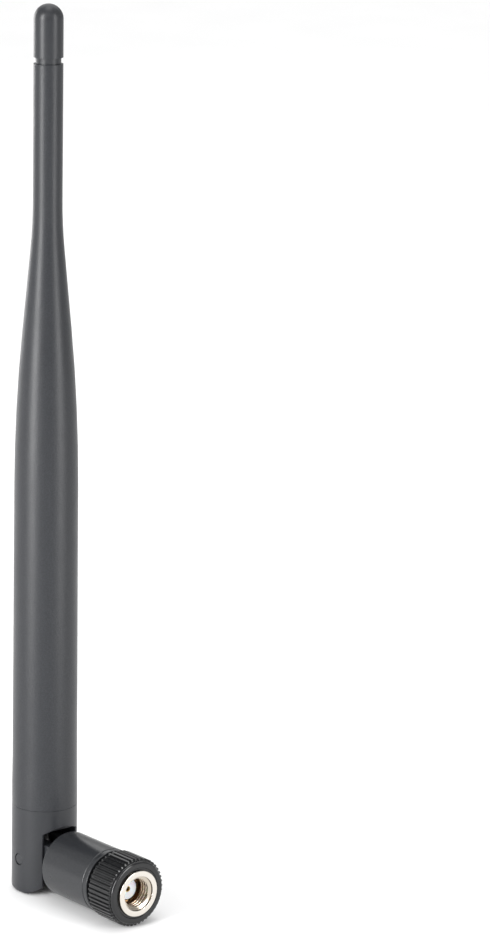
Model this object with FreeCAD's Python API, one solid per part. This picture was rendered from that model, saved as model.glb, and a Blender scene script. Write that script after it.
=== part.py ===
"""Tilting whip antenna with a reverse-polarity SMA plug, one STEP file for each piece.

Working frame, in millimetres: the hinge axis is Y, through the origin. The barrel and its plug
run along +X and the whip stands along +Z, so the antenna is bent by 90 degrees. The row frame has
the same directions, and its origin is the middle of the coupling thread's front end.
"""
import FreeCAD
import Part
import math
import os

from FreeCAD import Vector

# ---- Overall sizes -------------------------------------------------------------------------
BODY_D = 13.0             # knuckle, barrel and foot of the radome
WHIP_HEIGHT = 177.0       # flat foot of the knuckle to the tip
PIVOT_HEIGHT = 7.0        # hinge axis above the flat foot
PIVOT_TO_MOUTH = 30.0     # hinge axis to the coupling nut's front face

# ---- Radome --------------------------------------------------------------------------------
SEAM_HEIGHT = 17.8        # seam between knuckle and radome, above the foot
FLARE_LENGTH = 10.0       # the radome narrows over this length above the seam
STEM_D = 12.82            # radome above the flare
SHOULDER_D = 12.4         # radome where the taper starts
SHOULDER_HEIGHT = 98.5    # above the foot
TAPER_TOP_HEIGHT = 134.6
TIP_D = 5.7
SHOULDER_BLEND = 340.0    # radius of the blend into the taper
TAPER_BLEND = 100.0       # radius of the blend out of the taper
RADOME_WALL = 1.2
SEAM_BREAK = 0.07         # edge break on both sides of a seam

# ---- Tip cap -------------------------------------------------------------------------------
CAP_LENGTH = 10.2         # groove's upper edge to the tip
GROOVE_WIDTH = 1.2
GROOVE_DEPTH = 0.4
CAP_SPIGOT = 5.5
CAP_FIT = 0.05            # radial, cap spigot in the radome
CAP_LEAD_IN = 0.1         # chamfer on the spigot's end

# ---- Knuckle -------------------------------------------------------------------------------
FOOT_EDGE = 0.8           # edge radius round the flat foot
EAR_FRONT = 4.9           # front faces of the ears, from the hinge axis
EAR_GAP = 7.8
EAR_EDGE = 0.25
ARCH_CLEARANCE = 0.55     # arch over the barrel, beyond the barrel's radius
CAVITY_TOP = 6.2          # roof of the slot above the hinge axis
CAVITY_CLEARANCE = 0.4    # behind the rounded end of the tongue
CAVITY_CORNER = 3.0
SPIGOT_LENGTH = 8.5       # knuckle's spigot inside the radome
SPIGOT_FIT = 0.05
CHANNEL_CLEARANCE = 0.7   # cable channel up the knuckle, beyond the cable's radius

# ---- Hinge pins ----------------------------------------------------------------------------
PIN_D = 2.4
PIN_RUNNING = 0.04        # radial, in the tongue
PIN_SINK = 0.15           # outer ends below the knuckle's round face
PIN_SETBACK = 0.15        # inner ends, short of the cable slot

# ---- Swivel (two halves) -------------------------------------------------------------------
TONGUE_HEIGHT = 7.4
TONGUE_SIDE_GAP = 0.15    # tongue to each ear
SPLIT_GAP = 0.15          # between the two halves
CABLE_SLOT = 2.6          # slot between the two cheeks
SWIVEL_FLANGE = 2.0       # thickness of the round flange
SWIVEL_RUNNING = 0.05     # radial and axial clearance of the flange
CABLE_BORE_CLEARANCE = 0.1

# ---- Barrel --------------------------------------------------------------------------------
BARREL_START = 7.4        # open end, from the hinge axis
BARREL_RIM_EDGE = 0.35
BARREL_LIP_EDGE = 0.15
LIP_CLEARANCE = 0.08      # opening of the barrel, beyond the tongue's corners
LIP_STEP = 0.2            # the bore behind the opening is wider by this, and holds the flange
BARREL_LIP_LENGTH = 1.85
RIM_LINE_WIDTH = 0.22     # fine ring in the middle of the rim
BARREL_FRONT_EDGE = 0.4
BUSH_RING_D = 12.8        # ring between the barrel and the knurled cover
BUSH_FLANGE = 1.0         # thickness of the ring
BUSH_EDGE = 0.2
BUSH_FIT = 0.02
NUT_GAP = 0.9             # ring to knurled cover

# ---- Coupling nut --------------------------------------------------------------------------
NUT_FLANGE_D = 9.2
NUT_FLANGE = 1.0
HEX_FLATS = 8.0
NUT_REAR_INSET = 0.3      # nut's rear face inside the cover
MOUTH_D = 7.0
MOUTH_DEPTH = 0.4         # straight part of the mouth, in front of the lead-in cone
THREAD_MINOR_D = 5.69     # 1/4-36 UNS
THREAD_MAJOR_D = 6.35
THREAD_PITCH = 0.7056
THREAD_CREST = 0.25
THREAD_GROOVES = 3
THREAD_ROOT_SHARE = 0.2   # flat at the root, of a flank's length
RELIEF_D = 6.6
NUT_COLLAR = 2.2          # length of the close bore behind the relief
NUT_RUNNING = 0.07        # radial, on the connector body

# ---- Knurled cover -------------------------------------------------------------------------
RIB_COUNT = 45
RIB_CREST_D = 13.7
RIB_ROOT_D = 12.9
COVER_LIP_D = 12.7
RIB_CREST_SHARE = 0.40    # of the pitch
RIB_ROOT_SHARE = 0.30
COVER_LIP = 0.6           # smooth lip in front of the ribs
COVER_LIP_EDGE = 0.45
COVER_REAR_EDGE = 0.1
COVER_RECESS = 0.4        # cover's front face behind the nut's
COVER_REAR_DEPTH = 7.5    # cover's rear face behind the nut's front face
COVER_WEB_D = 7.6         # opening in the rear web

# ---- Connector body ------------------------------------------------------------------------
FACE_DEPTH = 3.4          # inner tube's face behind the nut's face
INNER_TUBE_D = 4.59
INNER_TUBE_LENGTH = 1.6
BODY_COLLAR_D = 5.8
BODY_IN_BUSH = 5.0        # collar's length inside the bush
STEM_LENGTH = 3.2
CRIMP_STEM_D = 2.1
DIELECTRIC_D = 4.12
DIELECTRIC_FRONT = 5.6
DIELECTRIC_REAR_D = 2.8
DIELECTRIC_REAR = 2.5
FACE_EDGE = 0.12

# ---- Centre contact ------------------------------------------------------------------------
CONTACT_D = 1.27
CONTACT_SETBACK = 0.1
SOCKET_D = 0.94
SOCKET_DEPTH = 3.0
SOCKET_SLOT = 0.14        # two crossing slots, which make four spring fingers
SOCKET_SLOT_DEPTH = 2.2
SOLDER_CUP = 1.1
SOLDER_CUP_FIT = 0.02

# ---- Retaining ring ------------------------------------------------------------------------
RING_WIDTH = 0.45
RING_SECTION = 0.8
RING_BED = 0.05           # ring inside the body's groove
RING_GAP_DEG = 40.0
RING_SIDE_GAP = 0.07
RING_INSET = 0.8          # ring's rear face in front of the nut's rear face

# ---- Coaxial cable -------------------------------------------------------------------------
CONDUCTOR_D = 0.3
CABLE_DIELECTRIC_D = 0.84
BRAID_D = 1.3
JACKET_D = 1.8
CABLE_GAP = 0.05          # between two stretches of the cable
BEND_RADIUS = 4.6
BRAID_FLARE = 0.6
CRIMP_WALL = 0.45
CRIMP_OVERHANG = 0.2

# ---- Dipole --------------------------------------------------------------------------------
SLEEVE_D = 6.0
SLEEVE_WALL = 0.35
SLEEVE_LENGTH = 27.0
SLEEVE_ABOVE_SPIGOT = 1.0
SLEEVE_BUSH = 3.0
SLEEVE_BUSH_INSET = 0.3
SLEEVE_BUSH_FIT = 0.05
SOLDER_HEIGHT = 0.5
SOLDER_WIDTH = 0.8
JACKET_STRIP = 1.2        # jacket ends this far below the sleeve's top
DIELECTRIC_STRIP = 1.0    # dielectric stands out of the braid
BRAID_STRIP = 0.3         # braid stands out of the solder
FEED_GAP = 0.5
RADIATOR_D = 1.2
LOWER_RADIATOR = 26.5
UPPER_TIP_GAP = 11.0      # upper radiator's end below the tip cap's spigot
FEED_HOLE_DEPTH = 1.5
COIL_MEAN_R = 2.2
COIL_WIRE_D = 1.0
COIL_PITCH = 2.0
COIL_TURNS = 3.5
SPACER_THICKNESS = 3.0
SPACER_FIT = 0.05
LOWER_SPACER_SHARE = 0.4      # of the lower radiator's length
UPPER_SPACER_SHARE = 0.35     # of the upper radiator's length

# ---- Places that follow from the sizes -----------------------------------------------------
BODY_R = BODY_D / 2
FOOT = -PIVOT_HEIGHT
SEAM = FOOT + SEAM_HEIGHT
TIP = FOOT + WHIP_HEIGHT
SHOULDER = FOOT + SHOULDER_HEIGHT
TAPER_TOP = FOOT + TAPER_TOP_HEIGHT
RADOME_TOP = TIP - CAP_LENGTH - GROOVE_WIDTH
SPIGOT_TOP = SEAM + SPIGOT_LENGTH

TONGUE_R = TONGUE_HEIGHT / 2
TONGUE_HALF = EAR_GAP / 2 - TONGUE_SIDE_GAP
LIP_R = math.hypot(TONGUE_HALF, TONGUE_R) + LIP_CLEARANCE
BORE_R = LIP_R + LIP_STEP
FLANGE_START = BARREL_START + BARREL_LIP_LENGTH + SWIVEL_RUNNING
FLANGE_END = FLANGE_START + SWIVEL_FLANGE

COVER_START = PIVOT_TO_MOUTH - COVER_REAR_DEPTH
COVER_END = PIVOT_TO_MOUTH - COVER_RECESS
BUSH_FRONT = COVER_START - NUT_GAP
BARREL_END = BUSH_FRONT - BUSH_FLANGE
BUSH_REAR = FLANGE_END + SWIVEL_RUNNING

NUT_REAR = COVER_START + NUT_REAR_INSET
THREAD_FRONT = PIVOT_TO_MOUTH - (MOUTH_D - THREAD_MINOR_D) / 2
THREAD_REAR = THREAD_FRONT - THREAD_GROOVES * THREAD_PITCH - THREAD_CREST
NUT_COLLAR_END = NUT_REAR + NUT_COLLAR

FACE = PIVOT_TO_MOUTH - FACE_DEPTH
COLLAR_FRONT = FACE - INNER_TUBE_LENGTH
COLLAR_REAR = BUSH_FRONT - BODY_IN_BUSH
STEM_REAR = COLLAR_REAR - STEM_LENGTH
RING_START = NUT_REAR + RING_INSET
RING_END = RING_START + RING_WIDTH
RING_INNER_R = BODY_COLLAR_D / 2 - RING_SECTION / 2

DIELECTRIC_STEP = FACE - DIELECTRIC_FRONT
DIELECTRIC_END = DIELECTRIC_STEP - DIELECTRIC_REAR
CONTACT_FRONT = FACE - CONTACT_SETBACK
CONTACT_REAR = DIELECTRIC_END + SOLDER_CUP / 2

JACKET_END = STEM_REAR - BRAID_FLARE
CABLE_SPLIT = FLANGE_END

SLEEVE_START = SPIGOT_TOP + SLEEVE_ABOVE_SPIGOT
SLEEVE_END = SLEEVE_START + SLEEVE_LENGTH
BRAID_TOP = SLEEVE_END + SOLDER_HEIGHT + BRAID_STRIP
DIELECTRIC_TOP = BRAID_TOP + DIELECTRIC_STRIP
LOWER_START = DIELECTRIC_TOP + FEED_GAP
LOWER_END = LOWER_START + LOWER_RADIATOR
COIL_END = LOWER_END + COIL_PITCH * COIL_TURNS + COIL_WIRE_D
UPPER_END = RADOME_TOP - CAP_SPIGOT - UPPER_TIP_GAP

X_AXIS = Vector(1, 0, 0)
Y_AXIS = Vector(0, 1, 0)
Z_AXIS = Vector(0, 0, 1)
CENTRE = Vector(0, 0, 0)
WIDE = 2 * BODY_D         # longer than any cut needs to be
NEARLY_ALL = 0.9          # most of a wall that a rounded edge may take
FULL_ROUND = 0.999        # of a half thickness, which leaves a sliver of flat between two arcs


# ---- Shape helpers -------------------------------------------------------------------------
def rounded_corner(before, corner, after, radius):
    """Ends and middle of the arc that rounds one corner of an outline."""
    to_before = (before - corner).normalize()
    to_after = (after - corner).normalize()
    half = to_before.getAngle(to_after) / 2
    reach = radius / math.tan(half)
    inward = (to_before + to_after).normalize()
    middle = corner + inward * (radius / math.sin(half) - radius)
    return corner + to_before * reach, middle, corner + to_after * reach


def closed_face(points):
    """Flat face from (corner, radius) pairs; a radius of 0 leaves the corner sharp."""
    pieces = []
    for i, (corner, radius) in enumerate(points):
        if radius:
            before = points[i - 1][0]
            after = points[(i + 1) % len(points)][0]
            pieces.append(rounded_corner(before, corner, after, radius))
        else:
            pieces.append((corner, None, corner))
    edges = []
    for i, (start, middle, end) in enumerate(pieces):
        if middle is not None:
            edges.append(Part.Arc(start, middle, end).toShape())
        following = pieces[(i + 1) % len(pieces)][0]
        if (following - end).Length > 1e-6:
            edges.append(Part.makeLine(end, following))
    return Part.Face(Part.Wire(edges))


def turned_x(outline):
    """Solid turned about X from (x, radius) or (x, radius, corner radius) points."""
    points = [(Vector(p[0], 0, p[1]), p[2] if len(p) > 2 else 0) for p in outline]
    return closed_face(points).revolve(CENTRE, X_AXIS, 360)


def turned_z(outline):
    """Solid turned about Z from (radius, z) or (radius, z, corner radius) points."""
    points = [(Vector(p[0], 0, p[1]), p[2] if len(p) > 2 else 0) for p in outline]
    return closed_face(points).revolve(CENTRE, Z_AXIS, 360)


def tube_x(outer, inner, start, end):
    """Plain tube along X; an inner radius of 0 gives a rod."""
    return turned_x([(start, inner), (start, outer), (end, outer), (end, inner)])


def tube_z(outer, inner, start, end):
    """Plain tube along Z; an inner radius of 0 gives a rod."""
    return turned_z([(inner, start), (outer, start), (outer, end), (inner, end)])


def block(x, y, z):
    """Box from (low, high) pairs."""
    size = [high - low for low, high in (x, y, z)]
    return Part.makeBox(*size, Vector(x[0], y[0], z[0]))


def hexagon(flats, start, end):
    """Hexagonal bar along X, with two flats facing up and down."""
    corner_r = flats / math.sqrt(3)
    corners = []
    for i in range(7):
        angle = math.radians(60 * i)
        corners.append(Vector(start, corner_r * math.cos(angle), corner_r * math.sin(angle)))
    return Part.Face(Part.makePolygon(corners)).extrude(X_AXIS * (end - start))


def pin_bore(radius):
    """Round bar on the hinge axis, through everything."""
    return Part.makeCylinder(radius, WIDE, Y_AXIS * (-WIDE / 2), Y_AXIS)


# ---- Whip ----------------------------------------------------------------------------------
def radome_bore(z):
    """Inner radius of the radome at a height between the shoulder and the taper's top."""
    low = SHOULDER_D / 2 - RADOME_WALL
    high = TIP_D / 2 - RADOME_WALL
    share = min(max((z - SHOULDER) / (TAPER_TOP - SHOULDER), 0), 1)
    return low + (high - low) * share


def radome():
    return turned_z([
        (BODY_R - SEAM_BREAK, SEAM),
        (BODY_R, SEAM + SEAM_BREAK),
        (BODY_R, SEAM + FLARE_LENGTH / 3, FLARE_LENGTH),
        (STEM_D / 2, SEAM + FLARE_LENGTH, FLARE_LENGTH),
        (SHOULDER_D / 2, SHOULDER, SHOULDER_BLEND),
        (TIP_D / 2, TAPER_TOP, TAPER_BLEND),
        (TIP_D / 2, RADOME_TOP - SEAM_BREAK),
        (TIP_D / 2 - SEAM_BREAK, RADOME_TOP),
        (radome_bore(TAPER_TOP), RADOME_TOP),
        (radome_bore(TAPER_TOP), TAPER_TOP),
        (radome_bore(SHOULDER), SHOULDER),
        (STEM_D / 2 - RADOME_WALL, SEAM),
    ])


def tip_cap():
    radius = TIP_D / 2
    spigot_r = radome_bore(TAPER_TOP) - CAP_FIT
    neck_r = radius - GROOVE_DEPTH
    skirt = TIP - CAP_LENGTH
    spigot_end = RADOME_TOP - CAP_SPIGOT
    diagonal = radius * math.sqrt(0.5)
    dome = Part.Arc(
        Vector(radius, 0, TIP - radius),
        Vector(diagonal, 0, TIP - radius + diagonal),
        Vector(0, 0, TIP),
    ).toShape()
    corners = [
        (0, TIP), (0, spigot_end), (spigot_r - CAP_LEAD_IN, spigot_end),
        (spigot_r, spigot_end + CAP_LEAD_IN), (spigot_r, RADOME_TOP), (neck_r, RADOME_TOP),
        (neck_r, skirt), (radius - SEAM_BREAK, skirt), (radius, skirt + SEAM_BREAK),
        (radius, TIP - radius),
    ]
    sides = Part.makePolygon([Vector(r, 0, z) for r, z in corners])
    return Part.Face(Part.Wire(sides.Edges + [dome])).revolve(CENTRE, Z_AXIS, 360)


def knuckle():
    spigot_r = STEM_D / 2 - RADOME_WALL - SPIGOT_FIT
    cable_r = JACKET_D / 2 + CHANNEL_CLEARANCE
    body = turned_z([
        (0, FOOT), (BODY_R, FOOT, FOOT_EDGE), (BODY_R, SEAM - SEAM_BREAK),
        (BODY_R - SEAM_BREAK, SEAM), (spigot_r, SEAM), (spigot_r, SPIGOT_TOP), (0, SPIGOT_TOP),
    ])
    arch_r = BODY_R + ARCH_CLEARANCE
    arch = Part.makeCylinder(arch_r, WIDE, X_AXIS * EAR_FRONT, X_AXIS)
    below_arch = block((EAR_FRONT, WIDE), (-WIDE, WIDE), (FOOT - 1, 0))
    toe = block((0, WIDE), (-WIDE, WIDE), (FOOT - 1, 0)).cut(pin_bore(PIVOT_HEIGHT))
    back = -(TONGUE_R + CAVITY_CLEARANCE)
    slot_side = closed_face([
        (Vector(back, -EAR_GAP / 2, FOOT - 1), 0),
        (Vector(WIDE, -EAR_GAP / 2, FOOT - 1), 0),
        (Vector(WIDE, -EAR_GAP / 2, CAVITY_TOP), 0),
        (Vector(back, -EAR_GAP / 2, CAVITY_TOP), CAVITY_CORNER),
    ])
    slot = slot_side.extrude(Y_AXIS * EAR_GAP)
    outside = body.cut(arch.fuse(below_arch)).cut(toe).removeSplitter()
    softened = outside.makeFillet(EAR_EDGE, front_edges(outside))
    channel = tube_z(cable_r, 0, 0, SPIGOT_TOP + 1)
    return softened.cut(slot).cut(channel).cut(pin_bore(PIN_D / 2)).removeSplitter()


def front_edges(shape):
    """Edges round the ears' front face and the curved toe, where they meet the round side."""
    def on_side(edge):
        radii = [math.hypot(v.X, v.Y) for v in edge.Vertexes]
        return all(abs(r - BODY_R) < 0.01 for r in radii)

    def in_front(edge):
        middle = edge.valueAt((edge.FirstParameter + edge.LastParameter) / 2)
        return middle.x > EAR_FRONT - 0.01 and middle.z < BODY_R + ARCH_CLEARANCE + 1
    return [e for e in shape.Edges if len(e.Vertexes) == 2 and on_side(e) and in_front(e)]


def hinge_pin(side):
    """One stub pin: held in the ear, turning in the tongue."""
    inner = CABLE_SLOT / 2 + PIN_SETBACK
    outer = BODY_R - PIN_SINK
    pin = Part.makeCylinder(PIN_D / 2, outer - inner, Y_AXIS * inner, Y_AXIS)
    return pin if side > 0 else pin.mirror(CENTRE, Y_AXIS)


def coax_whip_jacket():
    return tube_z(JACKET_D / 2, BRAID_D / 2, BEND_RADIUS + CABLE_GAP, SLEEVE_END - JACKET_STRIP)


def coax_whip_braid():
    return tube_z(BRAID_D / 2, CABLE_DIELECTRIC_D / 2, BEND_RADIUS + CABLE_GAP, BRAID_TOP)


def coax_whip_dielectric():
    start = BEND_RADIUS + CABLE_GAP
    return tube_z(CABLE_DIELECTRIC_D / 2, CONDUCTOR_D / 2, start, DIELECTRIC_TOP)


def coax_whip_conductor():
    return tube_z(CONDUCTOR_D / 2, 0, BEND_RADIUS + CABLE_GAP, LOWER_START + FEED_HOLE_DEPTH)


def dipole_sleeve():
    outer = SLEEVE_D / 2
    inner = outer - SLEEVE_WALL
    return turned_z([
        (outer, SLEEVE_START), (outer, SLEEVE_END, SLEEVE_WALL), (BRAID_D / 2, SLEEVE_END),
        (BRAID_D / 2, SLEEVE_END - SLEEVE_WALL), (inner, SLEEVE_END - SLEEVE_WALL),
        (inner, SLEEVE_START),
    ])


def sleeve_solder():
    inner = BRAID_D / 2
    return turned_z([
        (inner, SLEEVE_END), (inner + SOLDER_WIDTH, SLEEVE_END), (inner, SLEEVE_END + SOLDER_HEIGHT),
    ])


def sleeve_bush():
    start = SLEEVE_START + SLEEVE_BUSH_INSET
    outer = SLEEVE_D / 2 - SLEEVE_WALL - SLEEVE_BUSH_FIT
    return tube_z(outer, JACKET_D / 2, start, start + SLEEVE_BUSH)


def feed_solder():
    inner = CONDUCTOR_D / 2
    low = LOWER_START - FEED_GAP / 2
    return turned_z([
        (inner, low), (RADIATOR_D / 2, low + FEED_GAP / 4), (RADIATOR_D / 2, LOWER_START),
        (inner, LOWER_START),
    ])


def lower_radiator():
    return turned_z([
        (CONDUCTOR_D / 2, LOWER_START), (RADIATOR_D / 2, LOWER_START), (RADIATOR_D / 2, LOWER_END),
        (0, LOWER_END), (0, LOWER_START + FEED_HOLE_DEPTH),
        (CONDUCTOR_D / 2, LOWER_START + FEED_HOLE_DEPTH),
    ])


def phasing_coil():
    """Air-wound coil with a straight leg from the axis at each end."""
    wire_r = COIL_WIRE_D / 2
    start = LOWER_END + wire_r
    turns_height = COIL_PITCH * COIL_TURNS
    helix = Part.makeHelix(COIL_PITCH, turns_height, COIL_MEAN_R)
    section = Part.Wire(Part.makeCircle(wire_r, Vector(COIL_MEAN_R, 0, 0), Y_AXIS))
    winding = Part.Wire(helix).makePipeShell([section], True, True)
    winding.translate(Z_AXIS * start)
    coil = winding
    for turn, height in ((0, start), (COIL_TURNS, start + turns_height)):
        angle = 2 * math.pi * turn
        outward = Vector(math.cos(angle), math.sin(angle), 0)
        leg = Part.makeCylinder(wire_r, COIL_MEAN_R, Z_AXIS * height, outward)
        elbow = Part.makeSphere(wire_r, Z_AXIS * height + outward * COIL_MEAN_R)
        coil = coil.fuse(leg).fuse(elbow)
    stub_low = tube_z(RADIATOR_D / 2, 0, LOWER_END, start)
    stub_high = tube_z(RADIATOR_D / 2, 0, start + turns_height, COIL_END)
    return coil.fuse(stub_low).fuse(stub_high).removeSplitter()


def upper_radiator():
    return tube_z(RADIATOR_D / 2, 0, COIL_END, UPPER_END)


def wire_spacer(start):
    top = start + SPACER_THICKNESS
    return turned_z([
        (RADIATOR_D / 2, start), (radome_bore(start) - SPACER_FIT, start),
        (radome_bore(top) - SPACER_FIT, top), (RADIATOR_D / 2, top),
    ])


# ---- Swivel --------------------------------------------------------------------------------
def swivel_half(side):
    """Upper (side 1) or lower (side -1) half of the tongue and its round flange."""
    tongue_side = closed_face([
        (Vector(-TONGUE_R, -TONGUE_HALF, -TONGUE_R), TONGUE_R * FULL_ROUND),
        (Vector(FLANGE_START, -TONGUE_HALF, -TONGUE_R), 0),
        (Vector(FLANGE_START, -TONGUE_HALF, TONGUE_R), 0),
        (Vector(-TONGUE_R, -TONGUE_HALF, TONGUE_R), TONGUE_R * FULL_ROUND),
    ])
    tongue = tongue_side.extrude(Y_AXIS * (2 * TONGUE_HALF))
    flange = tube_x(BORE_R - SWIVEL_RUNNING, 0, FLANGE_START, FLANGE_END)
    whole = tongue.fuse(flange).removeSplitter()
    bore = tube_x(JACKET_D / 2 + CABLE_BORE_CLEARANCE, 0, -WIDE, WIDE)
    slot_top = WIDE if side > 0 else 0
    slot_end = BEND_RADIUS + CABLE_SLOT / 2
    slot = block((-WIDE, slot_end), (-CABLE_SLOT / 2, CABLE_SLOT / 2), (-SPLIT_GAP, slot_top))
    holes = pin_bore(PIN_D / 2 + PIN_RUNNING)
    if side > 0:
        half_space = block((-WIDE, WIDE), (-WIDE, WIDE), (SPLIT_GAP / 2, WIDE))
    else:
        half_space = block((-WIDE, WIDE), (-WIDE, WIDE), (-WIDE, -SPLIT_GAP / 2))
    return whole.cut(bore).cut(slot).cut(holes).common(half_space)


def coax_swivel():
    return tube_x(JACKET_D / 2, 0, BEND_RADIUS + CABLE_GAP, CABLE_SPLIT)


def coax_bend():
    """Cable round the hinge, from the tongue up into the knuckle."""
    centre = Vector(BEND_RADIUS, 0, BEND_RADIUS)
    section = Part.makeCircle(JACKET_D / 2, X_AXIS * BEND_RADIUS, X_AXIS)
    return Part.Face(Part.Wire(section)).revolve(centre, Y_AXIS, 90)


# ---- Barrel and plug -----------------------------------------------------------------------
def barrel():
    lip_end = BARREL_START + BARREL_LIP_LENGTH
    line_r = (BODY_R + LIP_R + RIM_LINE_WIDTH) / 2
    line_in = line_r - RIM_LINE_WIDTH
    rim_edge = min(BARREL_RIM_EDGE, NEARLY_ALL * (BODY_R - line_r))
    lip_edge = min(BARREL_LIP_EDGE, NEARLY_ALL * (line_in - LIP_R))
    front_edge = min(BARREL_FRONT_EDGE, NEARLY_ALL * (BODY_R - BORE_R))
    return turned_x([
        (BARREL_START, BODY_R, rim_edge), (BARREL_END, BODY_R, front_edge),
        (BARREL_END, BORE_R), (lip_end, BORE_R), (lip_end, LIP_R),
        (BARREL_START, LIP_R, lip_edge), (BARREL_START, line_in),
        (BARREL_START + RIM_LINE_WIDTH, line_in), (BARREL_START + RIM_LINE_WIDTH, line_r),
        (BARREL_START, line_r),
    ])


def connector_bush():
    outer = BORE_R - BUSH_FIT
    return turned_x([
        (BUSH_REAR, outer), (BARREL_END, outer), (BARREL_END, BUSH_RING_D / 2),
        (BUSH_FRONT, BUSH_RING_D / 2, BUSH_EDGE), (BUSH_FRONT, BODY_COLLAR_D / 2),
        (COLLAR_REAR, BODY_COLLAR_D / 2), (COLLAR_REAR, crimp_outer() + CRIMP_OVERHANG),
        (BUSH_REAR, crimp_outer() + CRIMP_OVERHANG),
    ])


def braid_thickness():
    return (BRAID_D - CABLE_DIELECTRIC_D) / 2


def crimp_outer():
    return CRIMP_STEM_D / 2 + braid_thickness() + CRIMP_WALL


def connector_body():
    groove_r = RING_INNER_R - RING_BED
    collar_r = BODY_COLLAR_D / 2
    groove = (RING_START - RING_BED, RING_END + RING_BED)
    return turned_x([
        (STEM_REAR, CABLE_DIELECTRIC_D / 2), (STEM_REAR, CRIMP_STEM_D / 2),
        (COLLAR_REAR, CRIMP_STEM_D / 2), (COLLAR_REAR, collar_r),
        (groove[0], collar_r), (groove[0], groove_r), (groove[1], groove_r), (groove[1], collar_r),
        (COLLAR_FRONT, collar_r, FACE_EDGE), (COLLAR_FRONT, INNER_TUBE_D / 2),
        (FACE, INNER_TUBE_D / 2, FACE_EDGE), (FACE, DIELECTRIC_D / 2),
        (DIELECTRIC_STEP, DIELECTRIC_D / 2), (DIELECTRIC_STEP, DIELECTRIC_REAR_D / 2),
        (DIELECTRIC_END, DIELECTRIC_REAR_D / 2), (DIELECTRIC_END, CABLE_DIELECTRIC_D / 2),
    ])


def connector_dielectric():
    bore = CONTACT_D / 2
    return turned_x([
        (DIELECTRIC_END, bore), (DIELECTRIC_END, DIELECTRIC_REAR_D / 2),
        (DIELECTRIC_STEP, DIELECTRIC_REAR_D / 2), (DIELECTRIC_STEP, DIELECTRIC_D / 2),
        (FACE, DIELECTRIC_D / 2), (FACE, bore),
    ])


def centre_contact():
    outer = CONTACT_D / 2
    cup_r = CONDUCTOR_D / 2 + SOLDER_CUP_FIT
    cup_end = CONTACT_REAR + SOLDER_CUP
    socket_end = CONTACT_FRONT - SOCKET_DEPTH
    contact = turned_x([
        (CONTACT_REAR, cup_r), (CONTACT_REAR, outer), (CONTACT_FRONT, outer),
        (CONTACT_FRONT, SOCKET_D / 2), (socket_end, SOCKET_D / 2), (socket_end, 0),
        (cup_end, 0), (cup_end, cup_r),
    ])
    half = SOCKET_SLOT / 2
    length = (CONTACT_FRONT - SOCKET_SLOT_DEPTH, CONTACT_FRONT + 1)
    upright = block(length, (-half, half), (-CONTACT_D, CONTACT_D))
    level = block(length, (-CONTACT_D, CONTACT_D), (-half, half))
    return contact.cut(upright).cut(level)


def retaining_ring():
    outer = RING_INNER_R + RING_SECTION
    ring = tube_x(outer, RING_INNER_R, RING_START, RING_END)
    half = math.radians(RING_GAP_DEG / 2)
    spread = Vector(0, math.sin(half), -math.cos(half)) * WIDE
    corners = [CENTRE, spread, Vector(0, -spread.y, spread.z), CENTRE]
    wedge = Part.Face(Part.makePolygon(corners)).extrude(X_AXIS * WIDE)
    return ring.cut(wedge)


def crimp_ferrule():
    outer = crimp_outer()
    return tube_x(outer, outer - CRIMP_WALL, STEM_REAR, COLLAR_REAR)


def coax_tail_jacket():
    return tube_x(JACKET_D / 2, BRAID_D / 2, CABLE_SPLIT + CABLE_GAP, JACKET_END)


def coax_tail_braid():
    """Braid that flares out of the jacket and over the connector's stem."""
    inner = CABLE_DIELECTRIC_D / 2
    stem_r = CRIMP_STEM_D / 2
    thick = braid_thickness()
    return turned_x([
        (CABLE_SPLIT + CABLE_GAP, inner), (JACKET_END, inner), (STEM_REAR, stem_r),
        (COLLAR_REAR, stem_r), (COLLAR_REAR, stem_r + thick), (STEM_REAR, stem_r + thick),
        (JACKET_END, inner + thick), (CABLE_SPLIT + CABLE_GAP, inner + thick),
    ])


def coax_tail_dielectric():
    start = CABLE_SPLIT + CABLE_GAP
    return tube_x(CABLE_DIELECTRIC_D / 2, CONDUCTOR_D / 2, start, DIELECTRIC_END)


def coax_tail_conductor():
    return tube_x(CONDUCTOR_D / 2, 0, CABLE_SPLIT + CABLE_GAP, CONTACT_REAR + SOLDER_CUP)


# ---- Coupling nut --------------------------------------------------------------------------
def nut_bore():
    """Everything inside the nut: mouth, thread grooves, relief, collar and ring groove."""
    minor = THREAD_MINOR_D / 2
    major = THREAD_MAJOR_D / 2
    close = BODY_COLLAR_D / 2 + NUT_RUNNING
    ring_r = RING_INNER_R + RING_SECTION + NUT_RUNNING
    outline = [(PIVOT_TO_MOUTH + 1, 0), (PIVOT_TO_MOUTH + 1, MOUTH_D / 2),
               (PIVOT_TO_MOUTH - MOUTH_DEPTH, MOUTH_D / 2), (THREAD_FRONT, minor)]
    flank = (THREAD_PITCH - THREAD_CREST) / 2
    root = flank * THREAD_ROOT_SHARE
    for i in range(THREAD_GROOVES):
        edge = THREAD_FRONT - i * THREAD_PITCH - THREAD_CREST
        outline += [(edge, minor), (edge - flank + root, major), (edge - flank - root, major)]
        outline += [(edge - 2 * flank, minor)]
    outline += [
        (THREAD_REAR, minor), (THREAD_REAR, RELIEF_D / 2), (NUT_COLLAR_END, RELIEF_D / 2),
        (NUT_COLLAR_END, close), (RING_END + RING_SIDE_GAP, close),
        (RING_END + RING_SIDE_GAP, ring_r), (RING_START - RING_SIDE_GAP, ring_r),
        (RING_START - RING_SIDE_GAP, close), (NUT_REAR - 1, close), (NUT_REAR - 1, 0),
    ]
    return turned_x(outline)


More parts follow.
